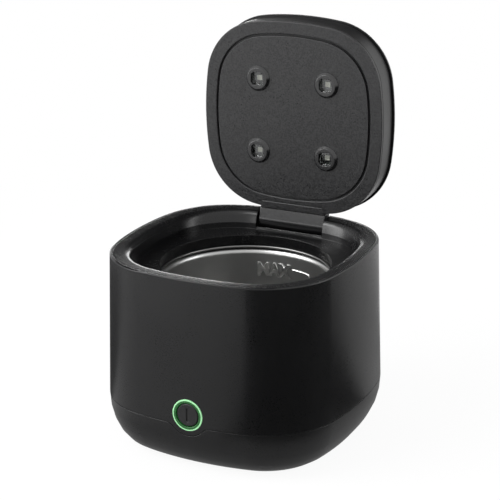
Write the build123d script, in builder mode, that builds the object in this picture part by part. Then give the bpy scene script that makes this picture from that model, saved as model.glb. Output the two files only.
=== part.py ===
from build123d import *
from math import asin, atan2, cos, degrees, radians, sin, sqrt, tan
import os

os.makedirs("parts", exist_ok=True)

# Millimetres, +Z up, origin on the floor under the middle of the base. The front faces -Y.
# The lid stands open at rest, in the plane above the rear rim.

# Body outline: a square of eight tangent arcs, four wide side arcs and four corner arcs
body_half_width = 52.0  # at the rim
parting_half_width = 53.6  # the walls draft outwards to the parting line
side_bow = 2.62  # side arc radius over half width
corner_share = 0.636  # corner arc radius over half width

# Heights
rim_height = 83.4
parting_height = 21.7
case_bottom = 0.6
dish_foot_height = 77.9
deck_height = 75.3
skirt_bottom = 70.0
collar_bottom = 70.6

# Walls
wall = 2.2
rim_wall = 2.0
rim_edge = 1.1  # the shell's width at the rim, outside the seam to the bezel
rim_chamfer = 0.4
seam = 0.3
fit_gap = 0.1
floor_thickness = 2.2
bowl_inset = 12.9  # how far the bowl draws in from the parting line to the flat bottom
bowl_angles = (0, 15, 30, 45, 60, 75, 90)
bowl_walls = ((0, 2.2), (40, 2.4), (68, 2.6), (90, 2.2))  # angle on the bowl, wall there

# Dish and deck
foot_half_width = 43.2
roll_wall_angle = 75.0  # steepness of the dish wall above its foot line
roll_radius = 3.2  # the wall rolls over into the rim
roll_angles = (75.0, 56.0, 37.0, 18.0, 0.0)
roll_crown = 0.2  # the rim rises a little from the roll to the seam
flange_thickness = 1.8
deck_thickness = 2.0
deck_radius = 36.3
collar_wall = 2.7
groove_inner_half_width = 45.4
groove_outer_half_width = 47.8
groove_top = 80.4

# Tank, deep drawn from sheet
tank_wall_radius = 35.6
tank_floor = 27.5
tank_sheet = 0.6
tank_flange_radius = 39.5
tank_flange_height = 69.1
tank_round = 2.4
lip_angles = (90, 60, 30, 0)
foot_angles = (0, 45, 90)
seal_inner_radius = 36.9
seal_outer_radius = 39.3

# Screw posts in the four corners
post_place = 31.0
post_radius = 3.4
boss_radius = 3.8
boss_top = 24.0
screw_seat = 6.0
screw_radius = 1.2
screw_clearance = 0.15
screw_head_radius = 2.2
screw_head_height = 2.0
screw_tip = 33.0
pilot_radius = 1.21
pilot_runout = 1.0
counterbore_radius = 2.5

# Power button, in the front wall
button_height = 26.2
ring_outer_radius = 6.8
ring_inner_radius = 5.2
ring_front = -53.62
ring_back = -49.6
ring_flange_radius = 8.2
ring_flange_front = -51.1
ring_flange_thickness = 1.0
cap_radius = 4.98
cap_front = -53.45
cap_flange_radius = 6.2
cap_flange_back = -48.4
cap_flange_thickness = 0.8
cap_stem_radius = 1.6
tongue_radius = 9.0
tongue_blend = 5.0
plunger_radius = 1.7
plunger_front = -46.6
switch_front = -45.9
switch_size = 6.0
switch_bore = 2.4

# Boards
board_thickness = 1.6
button_board_y = -42.5
button_board_size = (36.0, 22.0)
button_board_bottom = 15.0
driver_board_y = 40.2
driver_board_size = (50.0, 40.0)
driver_board_bottom = 12.0

# Charging socket, in the rear wall
socket_height = 30.0
socket_size = (8.94, 3.26)
socket_front = 52.7

# Cells
cell_radius = 9.15
cell_length = 65.0
cell_pitch = 18.6
cell_height = 13.2

# Hinge
hinge_y = 48.2
hinge_z = rim_height - 4.6
barrel_radius = 4.25
barrel_half_length = 15.7
notch_half_length = 16.1
notch_radius = 4.55
notch_lip_height = 76.4
notch_front = 42.2
notch_relief = (41.8, 42.65, 75.65)  # front, back and foot of the step that clears the closing lid
pin_radius = 1.25
pin_length = 9.5
pin_inner_end = 9.5
bore_clearance = 0.05

# Lid, built on a plane through its inner face: heights run from that face to the outer cover
lid_face_y = 45.4
lid_centre_z = hinge_z + hinge_y
lid_half_width = 42.3
lid_bow = 3.2
lid_corner_share = 0.64
lid_frame_thickness = 1.4
lid_seam = 0.25
lid_side_top = 11.2
lid_wall = 1.6
panel_half_width = 35.8
panel_groove = 1.0
arm_slot_depth = 3.0
lamp_spacing = 32.5
lamp_bezel_radius = 4.6
lamp_window_side = 5.9
lamp_window_corner = 1.1
lamp_board_half_width = 30.0
lamp_board_height = 3.2
magnet_radius = 2.5

# Parting line and inside features of the shells
tongue_back = 46.0  # the tongue and the button hole run outwards from here
tab_place = 48.65
tab_spread = 20.0
tab_size = (1.2, 6.0, 11.7)
tab_bottom = 11.5
rib_place = 47.3
rib_spread = 20.0
rib_depth = 4.0
rib_width = 1.5
rib_foot = 46.0
collar_chamfer = 0.4
hinge_block_half_width = 24.0
hinge_block_depth = 10.0

# Small parts inside
piezo_radius = 15.0
piezo_thickness = 2.5
holder_size = (70.0, 39.0, 6.5)
holder_corner = 2.0
terminal_height = 1.2
terminal_radius = 3.0

rail_size = (5.0, 4.0)
inner_foot = 2.5  # rails and bosses rise from inside the floor
rail_top = 17.5
driver_rail_place = 17.5
button_rail_place = 15.0
# Each chip: x, z, width and height
driver_chips = ((-14.0, 42.0, 9.0, 7.0), (-15.0, 27.0, 6.0, 6.0), (2.0, 44.0, 5.0, 8.0))
chip_thickness = 1.5
coil_place = (18.0, 36.0)
coil_core_size = (12.0, 12.0, 5.4)
coil_winding_size = (8.0, 14.0, 4.6)
socket_sheet = 0.35
socket_tongue = (6.6, 0.7)
socket_depth = 6.2
ring_lamp_place = 6.0
ring_lamp_size = (1.6, 0.8, 0.6)
plunger_length = 2.0
cap_chamfer = 0.4
cap_mark = (5.9, 1.2, 0.35)

# Lid details
lid_edge_chamfer = 0.3
groove_chamfer = 0.3
ledge_width = 2.2
ledge_thickness = 1.3
spigot_inset = 2.0
cover_overhang = 0.9  # the cover stands out past the side of the lid
cover_edge = 0.6
cover_shoulder = (2.6, 2.0)  # how far the shoulder draws in, and its rise
cover_shoulder_angles = (0, 30, 60, 90)
cover_crown = (9.0, 0.35)  # the crown's inset from the shoulder, and its rise
cover_roof = 1.7
spigot_length = 1.6
frame_tongue_half = 15.3
frame_tongue_rise = 2.0
witness_line = (28.8, 0.35, 0.15)  # width, height and depth of the line over the hinge
witness_place = 39.0
arm_shoulder_y = 46.1
arm_back = 51.0
arm_neck_top = 86.4
arm_slot_half = 16.0
arm_tab_thickness = 2.2
arm_tab_length = 9.4
lamp_foot_radius = 5.7
lamp_shank_side = 7.4
lamp_bezel_proud = 1.2
lamp_window_height = 0.5
lamp_window_thickness = 0.8
diode_side = 3.5
diode_height = 1.4
diode_well_side = 2.6
diode_well_depth = 0.8
diode_well_taper = 15.0
magnet_thickness = 2.0
sensor_place = 41.6
sensor_size = (4.0, 3.0, 1.5)

# Base pad
pad_half_width = 27.0
pad_thickness = 1.4
pad_recess = 0.8


def rounded_square(half_width, inset=0.0, bow=side_bow, corner=corner_share):
    """A square outline of eight tangent arcs, drawn in by inset."""
    side_radius = bow * half_width
    corner_radius = corner * half_width
    setback = side_radius - half_width  # the side arcs' centres lie this far behind the middle
    reach = (sqrt(2 * (side_radius - corner_radius) ** 2 - setback**2) - setback) / 2
    half_side = 90 - degrees(atan2(reach + setback, reach))
    with BuildSketch() as outline:
        with BuildLine():
            for turn in range(4):
                angle = 90 * turn
                side_centre = (-setback * cos(radians(angle)), -setback * sin(radians(angle)))
                CenterArc(side_centre, side_radius - inset, angle - half_side, 2 * half_side)
                corner_distance = reach * sqrt(2)
                corner_centre = (
                    corner_distance * cos(radians(angle + 45)),
                    corner_distance * sin(radians(angle + 45)),
                )
                CenterArc(corner_centre, corner_radius - inset, angle + half_side, 90 - 2 * half_side)
        make_face()
    return outline.sketch


def body_half_width_at(height):
    """Half width of the drafted outer wall at a height above the parting line."""
    drop = (rim_height - height) / (rim_height - parting_height)
    return body_half_width + (parting_half_width - body_half_width) * drop


def bowl_outline(drawn_in):
    """The parting outline drawn in: the corners keep their depth while the sides move."""
    half_width = parting_half_width - drawn_in
    corner = (corner_share * parting_half_width - drawn_in) / half_width
    return rounded_square(half_width, corner=corner)


def bowl_inset_at(angle):
    """Inset and height on the bowl's quarter ellipse, from 0 at the parting line to 90 at the flat."""
    drawn_in = bowl_inset * (1 - cos(radians(angle)))
    height = parting_height - (parting_height - case_bottom) * sin(radians(angle))
    return drawn_in, height


def round_point(centre, radius, angle):
    """The point of a circle at an angle in degrees."""
    return (centre[0] + radius * cos(radians(angle)), centre[1] + radius * sin(radians(angle)))


def tangent_from(start_y, start_z, radius):
    """Where a line from a point touches the lower front of a circle round the hinge axis."""
    distance = sqrt((hinge_y - start_y) ** 2 + (hinge_z - start_z) ** 2)
    heading = atan2(hinge_z - start_z, hinge_y - start_y) - asin(radius / distance)
    length = sqrt(distance**2 - radius**2)
    return (start_y + length * cos(heading), start_z + length * sin(heading))


# The whole outer form of the body: drafted walls over a bowl
wall_middle = (parting_height + rim_height) / 2
with BuildPart() as outer_form:
    for wall_height in (parting_height, wall_middle, rim_height):
        with BuildSketch(Plane.XY.offset(wall_height)):
            add(rounded_square(body_half_width_at(wall_height)))
    loft(ruled=True)
    chamfer(outer_form.faces().sort_by(Axis.Z)[-1].edges(), rim_chamfer)
with BuildPart() as bowl_form:
    for bowl_angle in bowl_angles:
        drawn_in, bowl_height = bowl_inset_at(bowl_angle)
        with BuildSketch(Plane.XY.offset(bowl_height)):
            add(bowl_outline(drawn_in))
    loft(ruled=True)

# The space inside the walls
with BuildPart() as inner_form:
    with BuildSketch(Plane.XY.offset(parting_height)):
        add(bowl_outline(wall))
    for wall_height in (wall_middle, rim_height):
        with BuildSketch(Plane.XY.offset(wall_height)):
            add(rounded_square(body_half_width_at(wall_height) - rim_wall))
    loft(ruled=True)
with BuildPart() as inner_bowl:
    for bowl_angle, bowl_wall in bowl_walls:
        drawn_in, bowl_height = bowl_inset_at(bowl_angle)
        with BuildSketch(Plane.XY.offset(bowl_height + floor_thickness * sin(radians(bowl_angle)))):
            add(bowl_outline(drawn_in + bowl_wall))
    loft(ruled=True)

# The parting surface: everything above it, with the tongue that dips round the button
tool_reach = 70.0
with BuildPart() as upper_tool:
    with BuildSketch(Plane.XZ.offset(-tool_reach)):
        Rectangle(2 * tool_reach, 2 * tool_reach, align=(Align.CENTER, Align.MIN))
        with Locations((0, parting_height)):
            Rectangle(2 * tool_reach, 2 * tool_reach, align=(Align.CENTER, Align.MAX), mode=Mode.SUBTRACT)
    extrude(amount=2 * tool_reach)
    with BuildSketch(Plane.XZ.offset(tongue_back)) as tongue_sketch:
        with Locations((0, button_height)):
            Circle(tongue_radius)
        with Locations((0, parting_height)):
            Rectangle(4 * tongue_radius, tongue_radius, align=(Align.CENTER, Align.MIN))
        meeting = tongue_sketch.vertices().filter_by_position(Axis.X, -tongue_radius, tongue_radius)
        fillet(meeting.filter_by_position(Axis.Y, parting_height - seam, parting_height + seam), tongue_blend)
    extrude(amount=tool_reach - tongue_back)

# The notch for the hinge barrel: a trough round the axis, open upwards and to the rear
with BuildPart() as notch_tool:
    with BuildSketch(Plane.YZ):
        with Locations((hinge_y, hinge_z)):
            Circle(notch_radius)
            Rectangle(tool_reach, tool_reach, align=(Align.MIN, Align.MIN))
            with Locations((0, -notch_radius)):
                Rectangle(tool_reach, notch_radius, align=(Align.MIN, Align.MIN))
        with Locations((notch_front, notch_lip_height)):
            Rectangle(hinge_y - notch_front, tool_reach, align=(Align.MIN, Align.MIN))
        with Locations((notch_relief[0], notch_relief[2])):
            Rectangle(notch_relief[1] - notch_relief[0], tool_reach, align=(Align.MIN, Align.MIN))
        Polygon(
            (notch_front, notch_lip_height),
            tangent_from(notch_front, notch_lip_height, notch_radius),
            (hinge_y, notch_lip_height),
            align=None,
        )
    extrude(amount=notch_half_length, both=True)

# Upper shell: drafted walls, tongue, ribs under the dish bezel, holes for the button and the socket
with BuildPart() as upper_shell:
    add(outer_form.part)
    add(bowl_form.part)
    add(inner_form.part, mode=Mode.SUBTRACT)
    add(inner_bowl.part, mode=Mode.SUBTRACT)
    add(upper_tool.part, mode=Mode.INTERSECT)
    with BuildSketch(Plane.XY.offset(rim_height - flange_thickness - seam)):
        add(rounded_square(body_half_width, rim_edge))
    extrude(amount=flange_thickness + seam, mode=Mode.SUBTRACT)
    with PolarLocations(rib_place, 4):
        with Locations((0, -rib_spread, rib_foot), (0, rib_spread, rib_foot)):
            Box(rib_depth, rib_width, skirt_bottom - rib_foot, align=(Align.CENTER, Align.CENTER, Align.MIN))
    add(notch_tool.part, mode=Mode.SUBTRACT)
    with BuildSketch(Plane.XZ.offset(tongue_back)):
        with Locations((0, button_height)):
            Circle(ring_outer_radius + bore_clearance)
    extrude(amount=tool_reach - tongue_back, mode=Mode.SUBTRACT)
    with BuildSketch(Plane.XZ.offset(tongue_back)):
        with Locations((0, button_height)):
            Circle(ring_flange_radius + bore_clearance)
    extrude(amount=-ring_flange_front - tongue_back, mode=Mode.SUBTRACT)
    with BuildSketch(Plane.XZ.offset(-tongue_back)):
        with Locations((0, socket_height)):
            SlotOverall(socket_size[0] + 2 * seam, socket_size[1] + 2 * seam)
    extrude(amount=-tool_reach + tongue_back, mode=Mode.SUBTRACT)
    with BuildSketch(Plane.YZ):
        with Locations((hinge_y, hinge_z)):
            Circle(pin_radius)
    extrude(amount=pin_inner_end + pin_length, both=True, mode=Mode.SUBTRACT)
upper_shell.part.label = "upper_shell"
export_step(upper_shell.part, "parts/upper_shell.step")

# Bottom case: bowl with a seam under the parting line, locating tabs, screw bosses and board rails
with BuildPart() as bottom_case:
    add(bowl_form.part)
    add(inner_bowl.part, mode=Mode.SUBTRACT)
    with Locations((0, 0, -seam)):
        add(upper_tool.part, mode=Mode.SUBTRACT)
    with PolarLocations(tab_place, 4):
        with Locations((0, -tab_spread, tab_bottom), (0, tab_spread, tab_bottom)):
            Box(tab_size[0], tab_size[1], tab_size[2], align=(Align.CENTER, Align.CENTER, Align.MIN))
    with BuildSketch(Plane.XY.offset(inner_foot)):
        with GridLocations(2 * post_place, 2 * post_place, 2, 2):
            Circle(boss_radius)
    extrude(amount=boss_top - inner_foot)
    with BuildSketch(Plane.XY.offset(case_bottom)):
        with GridLocations(2 * post_place, 2 * post_place, 2, 2):
            Circle(counterbore_radius)
    extrude(amount=screw_seat - case_bottom, mode=Mode.SUBTRACT)
    with BuildSketch(Plane.XY.offset(case_bottom)):
        with GridLocations(2 * post_place, 2 * post_place, 2, 2):
            Circle(screw_radius + screw_clearance)
    extrude(amount=boss_top - case_bottom, mode=Mode.SUBTRACT)
    with BuildSketch(Plane.XY.offset(case_bottom)):
        add(rounded_square(pad_half_width + fit_gap))
    extrude(amount=pad_recess, mode=Mode.SUBTRACT)
    with BuildSketch(Plane.XY.offset(inner_foot)):
        with Locations((0, driver_board_y + board_thickness / 2)):
            with GridLocations(2 * driver_rail_place, 1, 2, 1):
                Rectangle(rail_size[0], rail_size[1])
        with Locations((0, button_board_y + board_thickness / 2)):
            with GridLocations(2 * button_rail_place, 1, 2, 1):
                Rectangle(rail_size[0], rail_size[1])
    extrude(amount=rail_top - inner_foot)
    with BuildSketch(Plane.XY.offset(driver_board_bottom)):
        with Locations((0, driver_board_y + board_thickness / 2)):
            Rectangle(driver_board_size[0], board_thickness)
    extrude(amount=driver_board_size[1], mode=Mode.SUBTRACT)
    with BuildSketch(Plane.XY.offset(button_board_bottom)):
        with Locations((0, button_board_y + board_thickness / 2)):
            Rectangle(button_board_size[0], board_thickness)
    extrude(amount=button_board_size[1], mode=Mode.SUBTRACT)
bottom_case.part.label = "bottom_case"
export_step(bottom_case.part, "parts/bottom_case.step")

# Dish bezel: skirt, rim flange, rolled dish wall, step, flat deck, round collar, hinge block and posts
roll_centre_height = rim_height - roll_crown - roll_radius
wall_angle = radians(roll_wall_angle)
wall_rise = roll_centre_height + roll_radius * cos(wall_angle) - dish_foot_height
roll_centre_half_width = foot_half_width + wall_rise / tan(wall_angle) + roll_radius * sin(wall_angle)
with BuildPart() as dish_bezel:
    with BuildSketch(Plane.XY.offset(skirt_bottom)):
        add(rounded_square(body_half_width_at(skirt_bottom), rim_wall + seam + fit_gap))
    with BuildSketch(Plane.XY.offset(rim_height)):
        add(rounded_square(body_half_width, rim_wall + seam))
    loft(ruled=True)
    with BuildSketch(Plane.XY.offset(rim_height - flange_thickness)):
        add(rounded_square(body_half_width, rim_edge + seam))
    extrude(amount=flange_thickness)
    with BuildSketch(Plane.XY.offset(dish_foot_height)):
        add(rounded_square(foot_half_width))
    for roll_angle in roll_angles:
        with BuildSketch(Plane.XY.offset(roll_centre_height + roll_radius * cos(radians(roll_angle)))):
            add(rounded_square(roll_centre_half_width - roll_radius * sin(radians(roll_angle))))
    with BuildSketch(Plane.XY.offset(rim_height)):
        add(rounded_square(body_half_width, rim_edge + seam))
    loft(ruled=True, mode=Mode.SUBTRACT)
    with BuildSketch(Plane.XY.offset(deck_height)):
        add(rounded_square(foot_half_width))
    extrude(amount=dish_foot_height - deck_height, mode=Mode.SUBTRACT)
    with BuildSketch(Plane.XY.offset(skirt_bottom)):
        add(rounded_square(groove_outer_half_width))
    extrude(amount=deck_height - deck_thickness - skirt_bottom, mode=Mode.SUBTRACT)
    with BuildSketch(Plane.XY.offset(deck_height - deck_thickness)):
        add(rounded_square(groove_outer_half_width))
        add(rounded_square(groove_inner_half_width), mode=Mode.SUBTRACT)
    extrude(amount=groove_top - deck_height + deck_thickness, mode=Mode.SUBTRACT)
    with BuildSketch(Plane.XY.offset(collar_bottom)):
        Circle(deck_radius + collar_wall)
    extrude(amount=deck_height - deck_thickness - collar_bottom)
    with BuildSketch(Plane.XY.offset(skirt_bottom)):
        with Locations((0, hinge_y)):
            Rectangle(2 * hinge_block_half_width, hinge_block_depth)
        add(rounded_square(body_half_width, rim_wall + seam + fit_gap), mode=Mode.INTERSECT)
    extrude(amount=groove_top - skirt_bottom)
    with BuildSketch(Plane.XY.offset(deck_height - deck_thickness)):
        with GridLocations(2 * post_place, 2 * post_place, 2, 2):
            Circle(post_radius)
    extrude(amount=boss_top - deck_height + deck_thickness)
    with BuildSketch(Plane.XY.offset(boss_top)):
        with GridLocations(2 * post_place, 2 * post_place, 2, 2):
            Circle(pilot_radius)
    extrude(amount=screw_tip - boss_top + pilot_runout, mode=Mode.SUBTRACT)
    with BuildSketch(Plane.XY.offset(skirt_bottom)):
        Circle(deck_radius)
    extrude(amount=deck_height - skirt_bottom, mode=Mode.SUBTRACT)
    collar_edges = dish_bezel.edges().filter_by(GeomType.CIRCLE)
    collar_edges = collar_edges.filter_by(lambda edge: abs(edge.radius - deck_radius) < bore_clearance)
    chamfer(collar_edges.sort_by(Axis.Z)[0], collar_chamfer)
    add(notch_tool.part, mode=Mode.SUBTRACT)
    with BuildSketch(Plane.YZ):
        with Locations((hinge_y, hinge_z)):
            Circle(pin_radius)
    extrude(amount=pin_inner_end + pin_length, both=True, mode=Mode.SUBTRACT)
dish_bezel.part.label = "dish_bezel"
export_step(dish_bezel.part, "parts/dish_bezel.step")

# Tank: deep drawn, with a rolled lip and a rounded foot, in sheet of one thickness
lip_centre = (tank_wall_radius + tank_round, tank_flange_height - tank_round)
foot_centre = (tank_wall_radius - tank_round, tank_floor + tank_round)
foot_round = tank_round + tank_sheet
with BuildPart() as tank:
    with BuildSketch(Plane.XZ):
        with BuildLine():
            Polyline(
                (tank_flange_radius, tank_flange_height),
                *(round_point(lip_centre, -tank_round, -angle) for angle in lip_angles),
                *(round_point(foot_centre, tank_round, -angle) for angle in foot_angles),
                (0, tank_floor),
                (0, tank_floor - tank_sheet),
                *(round_point(foot_centre, foot_round, -angle) for angle in reversed(foot_angles)),
                (tank_wall_radius + tank_sheet, lip_centre[1]),
                (lip_centre[0], tank_flange_height - tank_sheet),
                (tank_flange_radius, tank_flange_height - tank_sheet),
                close=True,
            )
        make_face()
    revolve(axis=Axis.Z)
tank.part.label = "tank"
export_step(tank.part, "parts/tank.step")

# Silicone seal between the collar and the tank flange
with BuildPart() as tank_seal:
    with BuildSketch(Plane.XY.offset(tank_flange_height)):
        Circle(seal_outer_radius)
        Circle(seal_inner_radius, mode=Mode.SUBTRACT)
    extrude(amount=collar_bottom - tank_flange_height)
tank_seal.part.label = "tank_seal"
export_step(tank_seal.part, "parts/tank_seal.step")

# Ultrasonic transducer: a ceramic disc bonded under the tank floor
with BuildPart() as piezo_disc:
    with BuildSketch(Plane.XY.offset(tank_floor - tank_sheet)):
        Circle(piezo_radius)
    extrude(amount=-piezo_thickness)
piezo_disc.part.label = "piezo_disc"
export_step(piezo_disc.part, "parts/piezo_disc.step")

# Base pad of silicone, set into the floor of the bottom case
with BuildPart() as base_pad:
    with BuildSketch():
        add(rounded_square(pad_half_width))
    extrude(amount=pad_thickness)
base_pad.part.label = "base_pad"
export_step(base_pad.part, "parts/base_pad.step")

# Case screws, up through the bottom case into the bezel posts
with BuildPart() as case_screws:
    with BuildSketch(Plane.XY.offset(screw_seat)):
        with GridLocations(2 * post_place, 2 * post_place, 2, 2):
            Circle(screw_radius)
    extrude(amount=screw_tip - screw_seat)
    with BuildSketch(Plane.XY.offset(screw_seat)):
        with GridLocations(2 * post_place, 2 * post_place, 2, 2):
            Circle(screw_head_radius)
    extrude(amount=-screw_head_height)
case_screws.part.label = "case_screws"
export_step(case_screws.part, "parts/case_screws.step")

# Cell holder: a cradle with two troughs
with BuildPart() as cell_holder:
    with BuildSketch(Plane.XY.offset(case_bottom + floor_thickness)):
        RectangleRounded(holder_size[0], holder_size[1], holder_corner)
    extrude(amount=holder_size[2])
    with BuildSketch(Plane.YZ):
        with Locations((-cell_pitch / 2, cell_height), (cell_pitch / 2, cell_height)):
            Circle(cell_radius + bore_clearance)
    extrude(amount=cell_length / 2 + seam, both=True, mode=Mode.SUBTRACT)
cell_holder.part.label = "cell_holder"
export_step(cell_holder.part, "parts/cell_holder.step")

# Two rechargeable cells lying side by side, each with its raised end cap
for cell_name, cell_side in (("cell_front", -1), ("cell_rear", 1)):
    with BuildPart() as cell:
        with BuildSketch(Plane.YZ.offset(-cell_length / 2)):
            with Locations((cell_side * cell_pitch / 2, cell_height)):
                Circle(cell_radius)
        extrude(amount=cell_length - terminal_height)
        with BuildSketch(Plane.YZ.offset(cell_length / 2 - terminal_height)):
            with Locations((cell_side * cell_pitch / 2, cell_height)):
                Circle(terminal_radius)
        extrude(amount=terminal_height)
    cell.part.label = cell_name
    export_step(cell.part, "parts/" + cell_name + ".step")

# Driver board at the rear, standing in the case rails, with its parts soldered on
with BuildPart() as driver_board:
    with BuildSketch(Plane.XZ.offset(-driver_board_y)):
        with Locations((0, driver_board_bottom + driver_board_size[1] / 2)):
            Rectangle(driver_board_size[0], driver_board_size[1])
    extrude(amount=-board_thickness)
    with BuildSketch(Plane.XZ.offset(-driver_board_y)):
        for chip_x, chip_z, chip_width, chip_height in driver_chips:
            with Locations((chip_x, chip_z)):
                Rectangle(chip_width, chip_height)
    extrude(amount=chip_thickness)
driver_board.part.label = "driver_board"
export_step(driver_board.part, "parts/driver_board.step")

# Step-up coil for the transducer, on the driver board: a square core round its winding
with BuildPart() as step_up_coil:
    with BuildSketch(Plane.XZ.offset(-driver_board_y)):
        with Locations(coil_place):
            Rectangle(coil_core_size[0], coil_core_size[1])
    extrude(amount=coil_core_size[2])
    with BuildSketch(Plane.XZ.offset(-driver_board_y)):
        with Locations(coil_place):
            Rectangle(coil_winding_size[0], coil_winding_size[1])
    extrude(amount=coil_winding_size[2])
step_up_coil.part.label = "step_up_coil"
export_step(step_up_coil.part, "parts/step_up_coil.step")

# Charging socket: a drawn metal shell with its tongue, upright on the rear of the driver board
with BuildPart() as charging_socket:
    with BuildSketch(Plane.XZ.offset(-driver_board_y - board_thickness)):
        with Locations((0, socket_height)):
            SlotOverall(socket_size[0], socket_size[1])
    extrude(amount=driver_board_y + board_thickness - socket_front)
    with BuildSketch(Plane.XZ.offset(-socket_front)):
        with Locations((0, socket_height)):
            SlotOverall(socket_size[0] - 2 * socket_sheet, socket_size[1] - 2 * socket_sheet)
            Rectangle(socket_tongue[0], socket_tongue[1], mode=Mode.SUBTRACT)
    extrude(amount=socket_depth, mode=Mode.SUBTRACT)
charging_socket.part.label = "charging_socket"
export_step(charging_socket.part, "parts/charging_socket.step")

# Button board at the front, standing in the case rails
with BuildPart() as button_board:
    with BuildSketch(Plane.XZ.offset(-button_board_y)):
        with Locations((0, button_board_bottom + button_board_size[1] / 2)):
            Rectangle(button_board_size[0], button_board_size[1])
    extrude(amount=-board_thickness)
    with BuildSketch(Plane.XZ.offset(-button_board_y)):
        with Locations((0, button_height)):
            with PolarLocations(ring_lamp_place, 4, start_angle=45):
                Rectangle(ring_lamp_size[0], ring_lamp_size[1])
    extrude(amount=ring_lamp_size[2])
button_board.part.label = "button_board"
export_step(button_board.part, "parts/button_board.step")

# Tact switch: a square body with a bore for its plunger
with BuildPart() as tact_switch:
    with BuildSketch(Plane.XZ.offset(-button_board_y)):
        with Locations((0, button_height)):
            Rectangle(switch_size, switch_size)
    extrude(amount=button_board_y - switch_front)
    with BuildSketch(Plane.XZ.offset(-switch_front)):
        with Locations((0, button_height)):
            Circle(plunger_radius + screw_clearance)
    extrude(amount=-switch_bore, mode=Mode.SUBTRACT)
tact_switch.part.label = "tact_switch"
export_step(tact_switch.part, "parts/tact_switch.step")

# Plunger of the tact switch, a flat-headed pin that the button stem pushes
with BuildPart() as switch_plunger:
    with BuildSketch(Plane.XZ.offset(-plunger_front)):
        with Locations((0, button_height)):
            Circle(plunger_radius)
    extrude(amount=-plunger_length)
switch_plunger.part.label = "switch_plunger"
export_step(switch_plunger.part, "parts/switch_plunger.step")

# Light ring: a clear tube through the wall with a flange behind it
with BuildPart() as light_ring:
    with BuildSketch(Plane.XZ.offset(-ring_front)):
        with Locations((0, button_height)):
            Circle(ring_outer_radius)
            Circle(ring_inner_radius, mode=Mode.SUBTRACT)
    extrude(amount=ring_front - ring_back)
    with BuildSketch(Plane.XZ.offset(-ring_flange_front)):
        with Locations((0, button_height)):
            Circle(ring_flange_radius)
            Circle(ring_inner_radius, mode=Mode.SUBTRACT)
    extrude(amount=-ring_flange_thickness)
light_ring.part.label = "light_ring"
export_step(light_ring.part, "parts/light_ring.step")

# Power button: a cap with a bevelled face, a flange that holds it behind the ring, and a stem
with BuildPart() as power_button:
    with BuildSketch(Plane.XZ.offset(-cap_front)):
        with Locations((0, button_height)):
            Circle(cap_radius)
    extrude(amount=cap_front - cap_flange_back)
    with BuildSketch(Plane.XZ.offset(-cap_flange_back)):
        with Locations((0, button_height)):
            Circle(cap_flange_radius)
    extrude(amount=cap_flange_thickness)
    with BuildSketch(Plane.XZ.offset(-cap_flange_back)):
        with Locations((0, button_height)):
            Circle(cap_stem_radius)
    extrude(amount=cap_flange_back - plunger_front)
    chamfer(power_button.faces().sort_by(Axis.Y)[0].edges(), cap_chamfer)
    with BuildSketch(Plane.XZ.offset(-cap_front)):
        with Locations((0, button_height)):
            SlotOverall(cap_mark[0], cap_mark[1], rotation=90)
    extrude(amount=-cap_mark[2], mode=Mode.SUBTRACT)
power_button.part.label = "power_button"
export_step(power_button.part, "parts/power_button.step")

# Hinge pins, pressed into the bezel from the notch and running in the barrel
for pin_name, pin_side in (("hinge_pin_left", -1), ("hinge_pin_right", 1)):
    with BuildPart() as hinge_pin:
        with BuildSketch(Plane.YZ.offset(pin_side * pin_inner_end)):
            with Locations((hinge_y, hinge_z)):
                Circle(pin_radius)
        extrude(amount=pin_side * pin_length)
    hinge_pin.part.label = pin_name
    export_step(hinge_pin.part, "parts/" + pin_name + ".step")


def lid_outline(half_width, inset=0.0):
    """The lid's own rounded square, a little rounder than the body's."""
    return rounded_square(half_width, inset, lid_bow, lid_corner_share)


# Lid planes: x to the right, y down towards the hinge, height from the inner face to the cover
lid_plane = Plane(origin=(0, lid_face_y, lid_centre_z), x_dir=(1, 0, 0), z_dir=(0, 1, 0))
lamp_grid = GridLocations(lamp_spacing, lamp_spacing, 2, 2)

# Lid frame: the border of the inner face, its groove, a tongue over the hinge, and the panel's ledge
with BuildPart() as lid_frame:
    with BuildSketch(lid_plane):
        add(lid_outline(lid_half_width))
        with Locations((0, lid_half_width)):
            Rectangle(2 * frame_tongue_half, frame_tongue_rise, align=(Align.CENTER, Align.MAX))
    extrude(amount=lid_frame_thickness)
    chamfer(lid_frame.faces().sort_by(Axis.Y)[0].edges(), lid_edge_chamfer)
    with BuildSketch(lid_plane):
        add(lid_outline(panel_half_width + panel_groove))
    extrude(amount=lid_frame_thickness, mode=Mode.SUBTRACT)
    chamfer(lid_frame.faces().sort_by(Axis.Y)[0].inner_wires()[0].edges(), groove_chamfer)
    with BuildSketch(lid_plane.offset(lid_frame_thickness)):
        add(lid_outline(lid_half_width, spigot_inset))
        add(lid_outline(panel_half_width - ledge_width), mode=Mode.SUBTRACT)
    extrude(amount=ledge_thickness)
    with BuildSketch(lid_plane):
        with Locations((0, witness_place)):
            Rectangle(witness_line[0], witness_line[1])
    extrude(amount=witness_line[2], mode=Mode.SUBTRACT)
lid_frame.part.label = "lid_frame"
export_step(lid_frame.part, "parts/lid_frame.step")

# Lid side: the straight wall between the frame and the cover, slotted for the hinge arm
with BuildPart() as lid_side:
    with BuildSketch(lid_plane.offset(lid_frame_thickness + lid_seam)):
        add(lid_outline(lid_half_width))
        add(lid_outline(lid_half_width, lid_wall), mode=Mode.SUBTRACT)
    extrude(amount=lid_side_top - lid_frame_thickness - lid_seam)
    with BuildSketch(lid_plane.offset(lid_frame_thickness + lid_seam)):
        with Locations((0, lid_half_width)):
            Rectangle(2 * arm_slot_half, 2 * arm_slot_depth)
    extrude(amount=arm_back + fit_gap - lid_face_y - lid_frame_thickness - lid_seam, mode=Mode.SUBTRACT)
lid_side.part.label = "lid_side"
export_step(lid_side.part, "parts/lid_side.step")

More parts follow.
